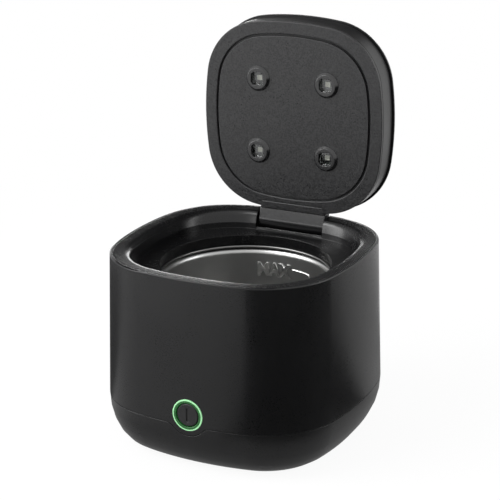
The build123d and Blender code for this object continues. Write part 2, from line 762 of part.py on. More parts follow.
# Lid cover: an overhanging edge, a rounded shoulder and a low crown, with a spigot inside the lid side
cover_base = lid_side_top + lid_seam
with BuildPart() as lid_cover:
    with BuildSketch(lid_plane.offset(cover_base)):
        add(lid_outline(lid_half_width, -cover_overhang))
    for shoulder_angle in cover_shoulder_angles:
        shoulder_rise = cover_shoulder[1] * sin(radians(shoulder_angle))
        drawn_in = cover_shoulder[0] * (1 - cos(radians(shoulder_angle))) - cover_overhang
        with BuildSketch(lid_plane.offset(cover_base + cover_edge + shoulder_rise)):
            add(lid_outline(lid_half_width, drawn_in))
    with BuildSketch(lid_plane.offset(cover_base + cover_edge + shoulder_rise + cover_crown[1])):
        add(lid_outline(lid_half_width - drawn_in - cover_crown[0]))
    loft(ruled=True)
    with BuildSketch(lid_plane.offset(cover_base - spigot_length)):
        add(lid_outline(lid_half_width, lid_wall + fit_gap))
    extrude(amount=spigot_length)
    with BuildSketch(lid_plane.offset(cover_base - spigot_length)):
        add(lid_outline(lid_half_width, 2 * lid_wall))
    extrude(amount=spigot_length + cover_edge + shoulder_rise - cover_roof, mode=Mode.SUBTRACT)
lid_cover.part.label = "lid_cover"
export_step(lid_cover.part, "parts/lid_cover.step")

# Inner panel inside the groove, with a square hole for each lamp bezel
with BuildPart() as inner_panel:
    with BuildSketch(lid_plane):
        add(lid_outline(panel_half_width))
        with lamp_grid:
            Rectangle(lamp_shank_side + fit_gap, lamp_shank_side + fit_gap, mode=Mode.SUBTRACT)
    extrude(amount=lid_frame_thickness)
inner_panel.part.label = "inner_panel"
export_step(inner_panel.part, "parts/inner_panel.step")

# Lamp board behind the panel
with BuildPart() as lamp_board:
    with BuildSketch(lid_plane.offset(lamp_board_height)):
        Rectangle(2 * lamp_board_half_width, 2 * lamp_board_half_width)
    extrude(amount=board_thickness)
lamp_board.part.label = "lamp_board"
export_step(lamp_board.part, "parts/lamp_board.step")

# Four lamps, each with a conical bezel on a square shank, a clear window and its diode
lamp_places = [(x * lamp_spacing / 2, y * lamp_spacing / 2) for y in (-1, 1) for x in (-1, 1)]
for lamp_number, lamp_place in enumerate(lamp_places, start=1):
    with BuildPart() as lamp_bezel:
        with BuildSketch(lid_plane):
            with Locations(lamp_place):
                Circle(lamp_foot_radius)
        with BuildSketch(lid_plane.offset(-lamp_bezel_proud)):
            with Locations(lamp_place):
                Circle(lamp_bezel_radius)
        loft()
        with BuildSketch(lid_plane):
            with Locations(lamp_place):
                Rectangle(lamp_shank_side, lamp_shank_side)
        extrude(amount=lamp_board_height)
        with BuildSketch(lid_plane.offset(-lamp_bezel_proud)) as pocket_sketch:
            with Locations(lamp_place):
                Rectangle(lamp_window_side, lamp_window_side)
            chamfer(pocket_sketch.vertices(), lamp_window_corner)
        extrude(amount=lamp_bezel_proud + lamp_board_height, mode=Mode.SUBTRACT)
    lamp_bezel.part.label = "lamp_bezel_" + str(lamp_number)
    export_step(lamp_bezel.part, "parts/" + lamp_bezel.part.label + ".step")
    with BuildPart() as lamp_window:
        with BuildSketch(lid_plane.offset(lamp_window_height)) as window_sketch:
            with Locations(lamp_place):
                Rectangle(lamp_window_side - fit_gap, lamp_window_side - fit_gap)
            chamfer(window_sketch.vertices(), lamp_window_corner)
        extrude(amount=lamp_window_thickness)
    lamp_window.part.label = "lamp_window_" + str(lamp_number)
    export_step(lamp_window.part, "parts/" + lamp_window.part.label + ".step")
    with BuildPart() as lamp_diode:
        with BuildSketch(lid_plane.offset(lamp_board_height)):
            with Locations(lamp_place):
                Rectangle(diode_side, diode_side)
        extrude(amount=-diode_height)
        with BuildSketch(lid_plane.offset(lamp_board_height - diode_height)):
            with Locations(lamp_place):
                Rectangle(diode_well_side, diode_well_side)
        extrude(amount=diode_well_depth, taper=diode_well_taper, mode=Mode.SUBTRACT)
    lamp_diode.part.label = "lamp_diode_" + str(lamp_number)
    export_step(lamp_diode.part, "parts/" + lamp_diode.part.label + ".step")

# Hinge arm: barrel, a front that runs tangent into it, the neck behind the frame's tongue, and the tab
frame_foot = lid_centre_z - lid_half_width
with BuildPart() as hinge_arm:
    with BuildSketch(Plane.YZ):
        with Locations((hinge_y, hinge_z)):
            Circle(barrel_radius)
        Polygon(
            (arm_shoulder_y, frame_foot - fit_gap),
            tangent_from(arm_shoulder_y, frame_foot - fit_gap, barrel_radius),
            (hinge_y, hinge_z),
            (arm_back, hinge_z),
            (arm_back, frame_foot - fit_gap),
            align=None,
        )
        with Locations((arm_back, hinge_z)):
            Rectangle(
                arm_back - lid_face_y - lid_frame_thickness - fit_gap,
                arm_neck_top - hinge_z,
                align=(Align.MAX, Align.MIN),
            )
        with Locations((lid_face_y + lid_frame_thickness + ledge_thickness, frame_foot)):
            Rectangle(arm_tab_thickness, arm_tab_length, align=(Align.MIN, Align.MIN))
    extrude(amount=barrel_half_length, both=True)
    with BuildSketch(Plane.YZ):
        with Locations((hinge_y, hinge_z)):
            Circle(pin_radius + bore_clearance)
    extrude(amount=barrel_half_length, both=True, mode=Mode.SUBTRACT)
hinge_arm.part.label = "hinge_arm"
export_step(hinge_arm.part, "parts/hinge_arm.step")

# Magnet in the lid, and the sensor under the deck that it wakes
with BuildPart() as lid_magnet:
    with BuildSketch(lid_plane.offset(lid_frame_thickness + ledge_thickness)):
        with Locations((0, -panel_half_width)):
            Circle(magnet_radius)
    extrude(amount=magnet_thickness)
lid_magnet.part.label = "lid_magnet"
export_step(lid_magnet.part, "parts/lid_magnet.step")
with BuildPart() as lid_sensor:
    with BuildSketch(Plane.XY.offset(deck_height - deck_thickness)):
        with Locations((0, -sensor_place)):
            Rectangle(sensor_size[0], sensor_size[1])
    extrude(amount=-sensor_size[2])
lid_sensor.part.label = "lid_sensor"
export_step(lid_sensor.part, "parts/lid_sensor.step")
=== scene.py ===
from math import cos, pi, radians, sin

import bmesh
import bpy
from mathutils import Matrix, Vector


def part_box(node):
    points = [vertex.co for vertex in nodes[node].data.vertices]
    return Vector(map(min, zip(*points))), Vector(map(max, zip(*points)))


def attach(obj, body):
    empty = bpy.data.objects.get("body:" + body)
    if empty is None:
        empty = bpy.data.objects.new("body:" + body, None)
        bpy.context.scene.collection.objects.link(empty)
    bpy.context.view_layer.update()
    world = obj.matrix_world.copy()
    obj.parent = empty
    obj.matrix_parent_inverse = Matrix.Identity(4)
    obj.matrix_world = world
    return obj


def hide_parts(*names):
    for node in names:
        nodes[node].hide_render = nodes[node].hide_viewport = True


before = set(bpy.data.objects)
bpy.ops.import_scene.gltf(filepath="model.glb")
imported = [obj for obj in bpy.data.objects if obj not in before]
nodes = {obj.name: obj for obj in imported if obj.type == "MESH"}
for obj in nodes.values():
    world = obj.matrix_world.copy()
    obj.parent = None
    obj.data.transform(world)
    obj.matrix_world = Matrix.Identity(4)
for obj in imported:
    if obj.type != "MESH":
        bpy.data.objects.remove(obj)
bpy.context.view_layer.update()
scene = bpy.context.scene
mm = 0.001
print("frame loaded:", len(nodes), "nodes")


# Small helpers for places, colours, nodes and meshes

def middle(node):
    low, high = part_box(node)
    return (low + high) / 2


def linearColour(hexCode):
    channels = [int(hexCode[i:i + 2], 16) / 255 for i in (1, 3, 5)]
    return tuple(c / 12.92 if c <= 0.04045 else ((c + 0.055) / 1.055) ** 2.4 for c in channels) + (1.0,)


white = linearColour("#ffffff")


def addNode(tree, kind, settings=None, links=None):
    # a key is a socket's name or number, or else one of the node's own settings
    node = tree.nodes.new(kind)
    for key, value in (settings or {}).items():
        if isinstance(key, int) or key in node.inputs:
            node.inputs[key].default_value = value
        else:
            setattr(node, key, value)
    for key, source in (links or {}).items():
        tree.links.new(source, node.inputs[key])
    return node


def newMaterial(name):
    material = bpy.data.materials.new(name)
    material.use_nodes = True
    material.node_tree.nodes.clear()
    return material, material.node_tree, addNode(material.node_tree, "ShaderNodeOutputMaterial")


def newPiece(name, mesh, material, body):
    piece = bpy.data.objects.new(name, mesh)
    scene.collection.objects.link(piece)
    mesh.materials.clear()
    mesh.materials.append(material)
    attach(piece, body)
    return piece


def meshFrom(shape, name):
    mesh = bpy.data.meshes.new(name)
    shape.to_mesh(mesh)
    shape.free()
    return mesh


# Materials

noiseReach = {"From Min": 0.3, "From Max": 0.7}  # most of a noise texture's values lie between these


def mouldedPlastic(name, look):
    # Moulded ABS: an etched grain breaks up its sheen, and edges are a little smoother and paler: partly
    # handling wear, partly a painted highlight along the edges.
    # The real grain, about 0.1 mm, is too fine to show in the render, so it is drawn coarser.
    material, tree, output = newMaterial(name)
    place = addNode(tree, "ShaderNodeTexCoord")
    along = addNode(tree, "ShaderNodeMapping", {"Scale": look["stretch"]},
                    {"Vector": place.outputs["Object"]})
    grain = addNode(tree, "ShaderNodeTexNoise",
                    {"Scale": 1 / (look["grainSize"] * mm), "Detail": 2.0, "Roughness": 0.6},
                    {"Vector": along.outputs["Vector"]})
    cloud = addNode(tree, "ShaderNodeTexNoise", {"Scale": 1 / (look["cloudSize"] * mm), "Detail": 3.0},
                    {"Vector": place.outputs["Object"]})
    # where the rounded normal turns away from the face's own, there is an edge
    surface = addNode(tree, "ShaderNodeNewGeometry")
    softened = addNode(tree, "ShaderNodeBevel", {"samples": 4, "Radius": look["edgeRadius"] * mm})
    likeness = addNode(tree, "ShaderNodeVectorMath", {"operation": "DOT_PRODUCT"},
                       {0: softened.outputs["Normal"], 1: surface.outputs["Normal"]})
    edge = addNode(tree, "ShaderNodeMapRange",
                   {"From Min": look["edgeFrom"], "From Max": look["edgeTo"],
                    "To Min": 0.0, "To Max": look["edgeWearAndHighlight"]},
                   {"Value": likeness.outputs["Value"]})
    speck = addNode(tree, "ShaderNodeMapRange",
                    {"From Min": look["speckFrom"], "From Max": look["speckTo"]},
                    {"Value": grain.outputs["Fac"]})
    colour = addNode(tree, "ShaderNodeMix",
                     {"data_type": "RGBA", 6: linearColour(look["colour"]),
                      7: linearColour(look["paleColour"])},
                     {0: speck.outputs["Result"]})
    # the paler edge colour is partly wear and partly a painted edge highlight
    wearAndEdgeHighlight = addNode(tree, "ShaderNodeMix", {"data_type": "RGBA", 7: linearColour(look["edgeWearAndHighlightColour"])},
                   {0: edge.outputs["Result"], 6: colour.outputs[2]})
    grainRough = addNode(tree, "ShaderNodeMapRange",
                         {**noiseReach,
                          "To Min": look["roughness"] - look["roughnessSpread"],
                          "To Max": look["roughness"] + look["roughnessSpread"]},
                         {"Value": grain.outputs["Fac"]})
    patchRough = addNode(tree, "ShaderNodeMapRange",
                         {"From Min": look["cloudFrom"], "From Max": look["cloudTo"],
                          "To Min": -look["cloudSpread"], "To Max": look["cloudSpread"]},
                         {"Value": cloud.outputs["Fac"]})
    mattRough = addNode(tree, "ShaderNodeMath", {"operation": "ADD"},
                        {0: grainRough.outputs["Result"], 1: patchRough.outputs["Result"]})
    rough = addNode(tree, "ShaderNodeMath", {"operation": "MULTIPLY_ADD", 1: -look["edgePolish"]},
                    {0: edge.outputs["Result"], 2: mattRough.outputs["Value"]})
    bump = addNode(tree, "ShaderNodeBump",
                   {"Strength": look["grainStrength"], "Distance": look["grainDepth"] * mm},
                   {"Height": grain.outputs["Fac"], "Normal": softened.outputs["Normal"]})
    plastic = addNode(tree, "ShaderNodeBsdfPrincipled",
                      {"IOR": look["ior"], "Specular IOR Level": look["specular"]},
                      {"Base Color": wearAndEdgeHighlight.outputs[2], "Roughness": rough.outputs["Value"],
                       "Normal": bump.outputs["Normal"]})
    tree.links.new(plastic.outputs["BSDF"], output.inputs["Surface"])
    return material


# sizes are in millimetres; edge values compare normals, speck and cloud values are cuts through the noise
shellLook = {
    "colour": "#09090a", "paleColour": "#121213", "edgeWearAndHighlightColour": "#1c1c1d",
    "roughness": 0.32, "roughnessSpread": 0.05, "specular": 0.45, "ior": 1.5,
    "grainSize": 0.55, "grainDepth": 0.05, "grainStrength": 0.35, "stretch": (1.0, 1.0, 2.4),
    "speckFrom": 0.38, "speckTo": 0.62,
    "cloudSize": 18.0, "cloudFrom": 0.35, "cloudTo": 0.65, "cloudSpread": 0.02,
    "edgeRadius": 0.35, "edgeFrom": 0.98, "edgeTo": 0.80, "edgeWearAndHighlight": 0.6, "edgePolish": 0.1,
}
dishLook = dict(shellLook, colour="#0a0a0b", paleColour="#0f0f10", roughness=0.25, roughnessSpread=0.03,
                grainStrength=0.08)
# the lid face's pale edge colour paints the highlight along the groove's outer lip
lidFaceLook = dict(shellLook, colour="#19191a", paleColour="#2a2a2b", edgeWearAndHighlightColour="#4a4a4b", roughness=0.42,
                   roughnessSpread=0.14, specular=0.42, edgeWearAndHighlight=0.9, edgePolish=0.3, grainSize=0.6,
                   grainDepth=0.08, grainStrength=0.8, stretch=(1.0, 1.0, 1.0))
lidSideLook = dict(shellLook, colour="#141415", paleColour="#19191a", roughness=0.36)
hingeLook = dict(shellLook, colour="#101011", paleColour="#151516", roughness=0.24, grainStrength=0.25)
buttonLook = dict(shellLook, colour="#141415", paleColour="#181819", roughness=0.45)
# the bezels' pale edge colour paints highlights along their edges
lampLook = dict(shellLook, colour="#141415", paleColour="#1a1a1b", edgeWearAndHighlightColour="#4a4a4b", roughness=0.22,
                specular=0.8)
innerLook = dict(shellLook, colour="#0d0d0e", paleColour="#111112", roughness=0.5)

shellAbs = mouldedPlastic("satinShellAbs", shellLook)
dishAbs = mouldedPlastic("satinDishAbs", dishLook)
lidFaceAbs = mouldedPlastic("etchedLidAbs", lidFaceLook)
lidSideAbs = mouldedPlastic("satinLidSideAbs", lidSideLook)
hingeAbs = mouldedPlastic("satinHingeAbs", hingeLook)
buttonAbs = mouldedPlastic("mattButtonAbs", buttonLook)
lampAbs = mouldedPlastic("glossLampAbs", lampLook)
innerAbs = mouldedPlastic("plainInnerAbs", innerLook)


def siliconeRubber(name, look):
    # Silicone: matt, a little dusty, with a soft sheen at its rolled edges
    material, tree, output = newMaterial(name)
    place = addNode(tree, "ShaderNodeTexCoord")
    dust = addNode(tree, "ShaderNodeTexNoise", {"Scale": 1 / (look["dustSize"] * mm), "Detail": 6.0},
                   {"Vector": place.outputs["Object"]})
    colour = addNode(tree, "ShaderNodeMix",
                     {"data_type": "RGBA", 6: linearColour(look["colour"]),
                      7: linearColour(look["dustColour"])},
                     {0: dust.outputs["Fac"]})
    rough = addNode(tree, "ShaderNodeMapRange",
                    {**noiseReach, "To Min": look["smoothest"], "To Max": look["roughest"]},
                    {"Value": dust.outputs["Fac"]})
    bump = addNode(tree, "ShaderNodeBump",
                   {"Strength": look["bumpStrength"], "Distance": look["bumpDepth"] * mm},
                   {"Height": dust.outputs["Fac"]})
    rubber = addNode(tree, "ShaderNodeBsdfPrincipled", {"IOR": look["ior"], "Sheen Weight": look["sheen"]},
                     {"Base Color": colour.outputs[2], "Roughness": rough.outputs["Result"],
                      "Normal": bump.outputs["Normal"]})
    tree.links.new(rubber.outputs["BSDF"], output.inputs["Surface"])
    return material


sealLook = {"colour": "#070707", "dustColour": "#0f0f0f", "dustSize": 3.0, "smoothest": 0.62,
            "roughest": 0.85, "bumpStrength": 0.3, "bumpDepth": 0.02, "sheen": 0.05, "ior": 1.41}
sealSilicone = siliconeRubber("blackSealSilicone", sealLook)
padSilicone = siliconeRubber("basePadSilicone", dict(sealLook, colour="#0c0c0c", dustColour="#171717"))


def drawnStainless(name, look):
    # Drawn and satin-polished 304 steel: fine rings from the polishing wheel, and slight clouding.
    # Real polishing lines are a few hundredths of a millimetre apart, so these are drawn coarser to show.
    material, tree, output = newMaterial(name)
    place = addNode(tree, "ShaderNodeTexCoord")
    along = addNode(tree, "ShaderNodeMapping", {"Scale": (1.0, 1.0, look["stretch"])},
                    {"Vector": place.outputs["Object"]})
    lines = addNode(tree, "ShaderNodeTexNoise", {"Scale": 1 / (look["lineSize"] * mm), "Detail": 3.0},
                    {"Vector": along.outputs["Vector"]})
    cloud = addNode(tree, "ShaderNodeTexNoise", {"Scale": 1 / (look["cloudSize"] * mm), "Detail": 2.0},
                    {"Vector": place.outputs["Object"]})
    colour = addNode(tree, "ShaderNodeMix",
                     {"data_type": "RGBA", 6: linearColour(look["colour"]),
                      7: linearColour(look["dullColour"])},
                     {0: cloud.outputs["Fac"]})
    lineRough = addNode(tree, "ShaderNodeMapRange",
                        {**noiseReach,
                         "To Min": look["roughness"] - look["roughnessSpread"],
                         "To Max": look["roughness"] + look["roughnessSpread"]},
                        {"Value": lines.outputs["Fac"]})
    bump = addNode(tree, "ShaderNodeBump",
                   {"Strength": look["lineStrength"], "Distance": look["lineDepth"] * mm},
                   {"Height": lines.outputs["Fac"]})
    steel = addNode(tree, "ShaderNodeBsdfPrincipled", {"Metallic": 1.0},
                    {"Base Color": colour.outputs[2], "Roughness": lineRough.outputs["Result"],
                     "Normal": bump.outputs["Normal"]})
    tree.links.new(steel.outputs["BSDF"], output.inputs["Surface"])
    return material


tankLook = {"colour": "#b9b9b8", "dullColour": "#a8a8a7", "roughness": 0.34, "roughnessSpread": 0.06,
            "stretch": 10.0, "lineSize": 0.5, "lineStrength": 0.25, "lineDepth": 0.008, "cloudSize": 9.0}
# the bead's steel is a darker copy of the tank's: painted shade for the gap it sits in
beadShadeLook = dict(tankLook, colour="#8d8d8c", dullColour="#7f7f7e")
# the fill mark is a paler copy of the tank steel: a painted highlight on the raised letters and line
markHighlightLook = dict(tankLook, colour="#ececea", dullColour="#dcdcda", roughness=0.22)
screwLook = dict(tankLook, colour="#8f8f90", dullColour="#7d7d7e", roughness=0.28, stretch=1.0)

tankSteel = drawnStainless("drawnStainlessSteel", tankLook)
beadSteelShaded = drawnStainless("rolledStainlessSteelPaintedShade", beadShadeLook)
markSteelHighlit = drawnStainless("pressedStainlessSteelPaintedHighlight", markHighlightLook)
screwSteel = drawnStainless("platedSteel", screwLook)


def lightGuide(name, look):
    # Tinted polycarbonate lit from behind: a pale, even glow in the middle of its band and a deeper green
    # at both edges, where less light comes through
    material, tree, output = newMaterial(name)
    place = addNode(tree, "ShaderNodeTexCoord")
    softened = addNode(tree, "ShaderNodeBevel", {"samples": 6, "Radius": look["edgeRadius"] * mm})
    fromAxis = addNode(tree, "ShaderNodeVectorMath", {"operation": "SUBTRACT", 1: look["axis"]},
                       {0: place.outputs["Object"]})
    flat = addNode(tree, "ShaderNodeVectorMath", {"operation": "MULTIPLY", 1: (1.0, 0.0, 1.0)},
                   {0: fromAxis.outputs["Vector"]})
    radius = addNode(tree, "ShaderNodeVectorMath", {"operation": "LENGTH"}, {0: flat.outputs["Vector"]})
    inside = addNode(tree, "ShaderNodeMapRange",
                     {"From Min": look["outer"] * look["brightFrom"] - look["blur"] * mm,
                      "From Max": look["outer"] * look["brightFrom"] + look["blur"] * mm},
                     {"Value": radius.outputs["Value"]})
    outside = addNode(tree, "ShaderNodeMapRange",
                      {"From Min": look["outer"] * look["brightTo"] + look["blur"] * mm,
                       "From Max": look["outer"] * look["brightTo"] - look["blur"] * mm},
                      {"Value": radius.outputs["Value"]})
    core = addNode(tree, "ShaderNodeMath", {"operation": "MULTIPLY"},
                   {0: inside.outputs["Result"], 1: outside.outputs["Result"]})
    haze = addNode(tree, "ShaderNodeTexNoise", {"Scale": 1 / (look["hazeSize"] * mm), "Detail": 2.0},
                   {"Vector": place.outputs["Object"]})
    colour = addNode(tree, "ShaderNodeMix",
                     {"data_type": "RGBA", 6: linearColour(look["deepColour"]),
                      7: linearColour(look["colour"])},
                     {0: core.outputs["Value"]})
    glow = addNode(tree, "ShaderNodeMapRange",
                   {**noiseReach, "To Min": look["glow"] * look["dimmest"],
                    "To Max": look["glow"] * look["brightest"]},
                   {"Value": haze.outputs["Fac"]})
    guide = addNode(tree, "ShaderNodeBsdfPrincipled",
                    {"IOR": look["ior"], "Roughness": look["roughness"], "Subsurface Weight": look["scatter"],
                     "Subsurface Radius": tuple(reach * mm for reach in look["scatterReach"])},
                    {"Base Color": colour.outputs[2], "Emission Color": colour.outputs[2],
                     "Emission Strength": glow.outputs["Result"], "Normal": softened.outputs["Normal"]})
    tree.links.new(guide.outputs["BSDF"], output.inputs["Surface"])
    return material


ringLow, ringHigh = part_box("light_ring")
ringLook = {
    "colour": "#8cc592", "deepColour": "#0b4a17", "roughness": 0.35, "ior": 1.585, "edgeRadius": 0.3,
    "glow": 0.35, "dimmest": 0.85, "brightest": 1.15, "hazeSize": 2.5,
    "scatter": 0.2, "scatterReach": (0.6, 1.0, 0.6),
    "axis": tuple(nodes["light_ring"].matrix_world.inverted() @ middle("light_ring")),
    "outer": (ringHigh.x - ringLow.x) / 2, "brightFrom": 0.76, "brightTo": 0.955,  # shares of its radius
    "blur": 0.12,
}
ringGuide = lightGuide("greenRingPolycarbonate", ringLook)


def clearPolycarbonate(name, look):
    # Clear polycarbonate: nearly glass-like, with the faint haze of a moulded lens
    material, tree, output = newMaterial(name)
    place = addNode(tree, "ShaderNodeTexCoord")
    haze = addNode(tree, "ShaderNodeTexNoise", {"Scale": 1 / (look["hazeSize"] * mm), "Detail": 2.0},
                   {"Vector": place.outputs["Object"]})
    rough = addNode(tree, "ShaderNodeMapRange",
                    {**noiseReach, "To Min": look["smoothest"], "To Max": look["roughest"]},
                    {"Value": haze.outputs["Fac"]})
    window = addNode(tree, "ShaderNodeBsdfPrincipled",
                     {"Base Color": linearColour(look["colour"]), "IOR": look["ior"],
                      "Specular IOR Level": look["specular"], "Transmission Weight": 1.0},
                     {"Roughness": rough.outputs["Result"]})
    tree.links.new(window.outputs["BSDF"], output.inputs["Surface"])
    return material


windowLook = {"colour": "#eef1f0", "smoothest": 0.02, "roughest": 0.05, "specular": 0.25, "ior": 1.585,
              "hazeSize": 1.5}
lampWindow = clearPolycarbonate("clearPolycarbonate", windowLook)


def speckled(name, look):
    # Small inner parts: one body colour with the fine mottling of its glaze, mask, varnish or wrap
    material, tree, output = newMaterial(name)
    place = addNode(tree, "ShaderNodeTexCoord")
    mottle = addNode(tree, "ShaderNodeTexNoise", {"Scale": 1 / (look["mottleSize"] * mm), "Detail": 3.0},
                     {"Vector": place.outputs["Object"]})
    colour = addNode(tree, "ShaderNodeMix",
                     {"data_type": "RGBA", 6: linearColour(look["colour"]),
                      7: linearColour(look["otherColour"])},
                     {0: mottle.outputs["Fac"]})
    rough = addNode(tree, "ShaderNodeMapRange",
                    {**noiseReach,
                     "To Min": look["roughness"] - look["roughnessSpread"],
                     "To Max": look["roughness"] + look["roughnessSpread"]},
                    {"Value": mottle.outputs["Fac"]})
    bump = addNode(tree, "ShaderNodeBump",
                   {"Strength": look["bumpStrength"], "Distance": look["bumpDepth"] * mm},
                   {"Height": mottle.outputs["Fac"]})
    body = addNode(tree, "ShaderNodeBsdfPrincipled", {"IOR": look["ior"]},
                   {"Base Color": colour.outputs[2], "Roughness": rough.outputs["Result"],
                    "Normal": bump.outputs["Normal"]})
    tree.links.new(body.outputs["BSDF"], output.inputs["Surface"])
    return material


boardLook = {"colour": "#17492b", "otherColour": "#1f5a36", "mottleSize": 1.2, "roughness": 0.35,
             "roughnessSpread": 0.08, "bumpStrength": 0.2, "bumpDepth": 0.01, "ior": 1.5}
ceramicLook = dict(boardLook, colour="#cfcabb", otherColour="#dcd8cb", roughness=0.4)
wrapLook = dict(boardLook, colour="#2a5a96", otherColour="#3366a3", roughness=0.25)
coilLook = dict(boardLook, colour="#8a4f26", otherColour="#a5632f", mottleSize=0.5)
lampBoardLook = dict(boardLook, colour="#0e1a13", otherColour="#122118")
# the package is painted dark grey as the shade in the recess behind the lamp window
packageShadeLook = dict(boardLook, colour="#2c2c2e", otherColour="#363638", mottleSize=0.4)
phosphorLook = dict(boardLook, colour="#c9c6ba", otherColour="#d8d5ca", mottleSize=0.3)

solderMask = speckled("greenSolderMask", boardLook)
firedCeramic = speckled("firedCeramic", ceramicLook)
cellWrap = speckled("blueShrinkWrap", wrapLook)
varnishedCoil = speckled("varnishedCoil", coilLook)
lampMask = speckled("darkSolderMask", lampBoardLook)
lampPackageShaded = speckled("greyLampPackagePaintedShade", packageShadeLook)
phosphor = speckled("lampPhosphor", phosphorLook)

finishOf = {
    "upper_shell": shellAbs, "bottom_case": shellAbs, "dish_bezel": dishAbs, "lid_cover": shellAbs,
    "lid_frame": lidFaceAbs, "inner_panel": lidFaceAbs, "lid_side": lidSideAbs, "hinge_arm": hingeAbs,
    "power_button": buttonAbs, "switch_plunger": innerAbs, "tact_switch": innerAbs, "lid_sensor": innerAbs,
    "cell_holder": innerAbs, "tank": tankSteel, "case_screws": screwSteel, "hinge_pin_left": screwSteel,
    "hinge_pin_right": screwSteel, "charging_socket": screwSteel, "lid_magnet": screwSteel,
    "tank_seal": sealSilicone, "base_pad": padSilicone, "light_ring": ringGuide, "lamp_board": lampMask,
    "driver_board": solderMask, "button_board": solderMask, "piezo_disc": firedCeramic,
    "step_up_coil": varnishedCoil, "cell_front": cellWrap, "cell_rear": cellWrap,
}
for number in range(1, 5):
    finishOf["lamp_bezel_%d" % number] = lampAbs
    finishOf["lamp_window_%d" % number] = lampWindow
    finishOf["lamp_diode_%d" % number] = lampPackageShaded
for name, material in finishOf.items():
    nodes[name].data.materials.clear()
    nodes[name].data.materials.append(material)
print("materials on", len(finishOf), "of", len(nodes), "nodes")


# Soft edges: each solid's faces are joined and its shallow steps shaded smooth, and the outer pieces'
# corners are rounded a little

def smoothByAngle(look):
    # a shallow crease at one height stays crisp: the line where the dish's slope meets its step
    group = bpy.data.node_groups.new("smoothByAngle", "GeometryNodeTree")
    group.interface.new_socket("Geometry", in_out="INPUT", socket_type="NodeSocketGeometry")
    group.interface.new_socket("Geometry", in_out="OUTPUT", socket_type="NodeSocketGeometry")
    entry = addNode(group, "NodeGroupInput")
    plain = addNode(group, "GeometryNodeRemoveAttribute", {"Name": "custom_normal"},
                    {"Geometry": entry.outputs["Geometry"]})
    rounded = addNode(group, "GeometryNodeSetShadeSmooth", {"domain": "FACE", "Shade Smooth": True},
                      {"Geometry": plain.outputs["Geometry"]})
    turn = addNode(group, "GeometryNodeInputMeshEdgeAngle")
    shallow = addNode(group, "FunctionNodeCompare",
                      {"data_type": "FLOAT", "operation": "LESS_THAN", 1: radians(look["smoothAngle"])},
                      {0: turn.outputs["Unsigned Angle"]})
    spot = addNode(group, "GeometryNodeInputPosition")
    heightOf = addNode(group, "ShaderNodeSeparateXYZ", None, {0: spot.outputs["Position"]})
    elsewhere = addNode(group, "FunctionNodeCompare",
                        {"data_type": "FLOAT", "operation": "NOT_EQUAL", 1: look["creaseHeight"] * mm,
                         "Epsilon": look["creaseReach"] * mm},
                        {0: heightOf.outputs["Z"]})
    smooth = addNode(group, "FunctionNodeBooleanMath", {"operation": "AND"},
                     {0: shallow.outputs["Result"], 1: elsewhere.outputs["Result"]})
    creased = addNode(group, "GeometryNodeSetShadeSmooth", {"domain": "EDGE"},
                      {"Geometry": rounded.outputs["Geometry"], "Shade Smooth": smooth.outputs["Boolean"]})
    addNode(group, "NodeGroupOutput", None, {"Geometry": creased.outputs["Geometry"]})
    return group


softening = {
    "weldDistance": 0.002, "smoothAngle": 38.0, "creaseHeight": 77.9, "creaseReach": 0.02,
    "bevelAngle": 50.0, "segments": 2,
    "widths": {"dish_bezel": 0.12, "upper_shell": 0.2, "bottom_case": 0.2, "light_ring": 0.2,
               "power_button": 0.25, "hinge_arm": 0.25, "lid_side": 0.15, "lid_frame": 0.4},
}
edgeShading = smoothByAngle(softening)
for name, solid in nodes.items():
    weld = solid.modifiers.new("weldFaces", "WELD")
    weld.merge_threshold = softening["weldDistance"] * mm
    if name in softening["widths"]:
        bevel = solid.modifiers.new("softCorners", "BEVEL")
        bevel.width = softening["widths"][name] * mm
        bevel.segments = softening["segments"]
        bevel.limit_method = "ANGLE"
        bevel.angle_limit = radians(softening["bevelAngle"])
    shading = solid.modifiers.new("smoothByAngle", "NODES")
    shading.node_group = edgeShading
    weighting = solid.modifiers.new("evenFaces", "WEIGHTED_NORMAL")
    weighting.mode = "FACE_AREA"
    weighting.keep_sharp = True
print("soft edges on", len(nodes), "nodes")


# Fill mark: three raised capitals and a level line that turns down, on the rear wall of the tank.
# Its places are millimetres along the wall and up from the table.

fillMark = {
    "word": "MAX", "wallRadius": 35.6, "from": -11.4, "to": 4.5, "low": 57.0, "high": 63.3,
    "proud": 0.6, "sunk": 0.3, "extrude": 0.5, "roundEdge": 0.08, "bold": 0.012,
    "line": ((5.3, 61.35), (9.8, 61.3), (14.2, 61.15), (14.8, 60.85), (15.1, 59.9)),
    "lineRadius": 0.3, "lineProud": 0.1, "lineRounding": 4,
}


def stretched(value, values, low, high):
    return low + (value - min(values)) / (max(values) - min(values)) * (high - low)


def onWall(arc, height, proud):
    # arc is measured along the wall from straight behind, towards the right
    radius = fillMark["wallRadius"] - proud
    turn = arc / fillMark["wallRadius"]
    return Vector((radius * sin(turn), radius * cos(turn), height)) * mm


def frozenMesh(curve, name):
    holder = bpy.data.objects.new(name, curve)
    scene.collection.objects.link(holder)
    bpy.context.view_layer.update()
    shape = bpy.data.meshes.new_from_object(holder.evaluated_get(bpy.context.evaluated_depsgraph_get()))
    bpy.data.objects.remove(holder)
    shape.name = name
    return shape


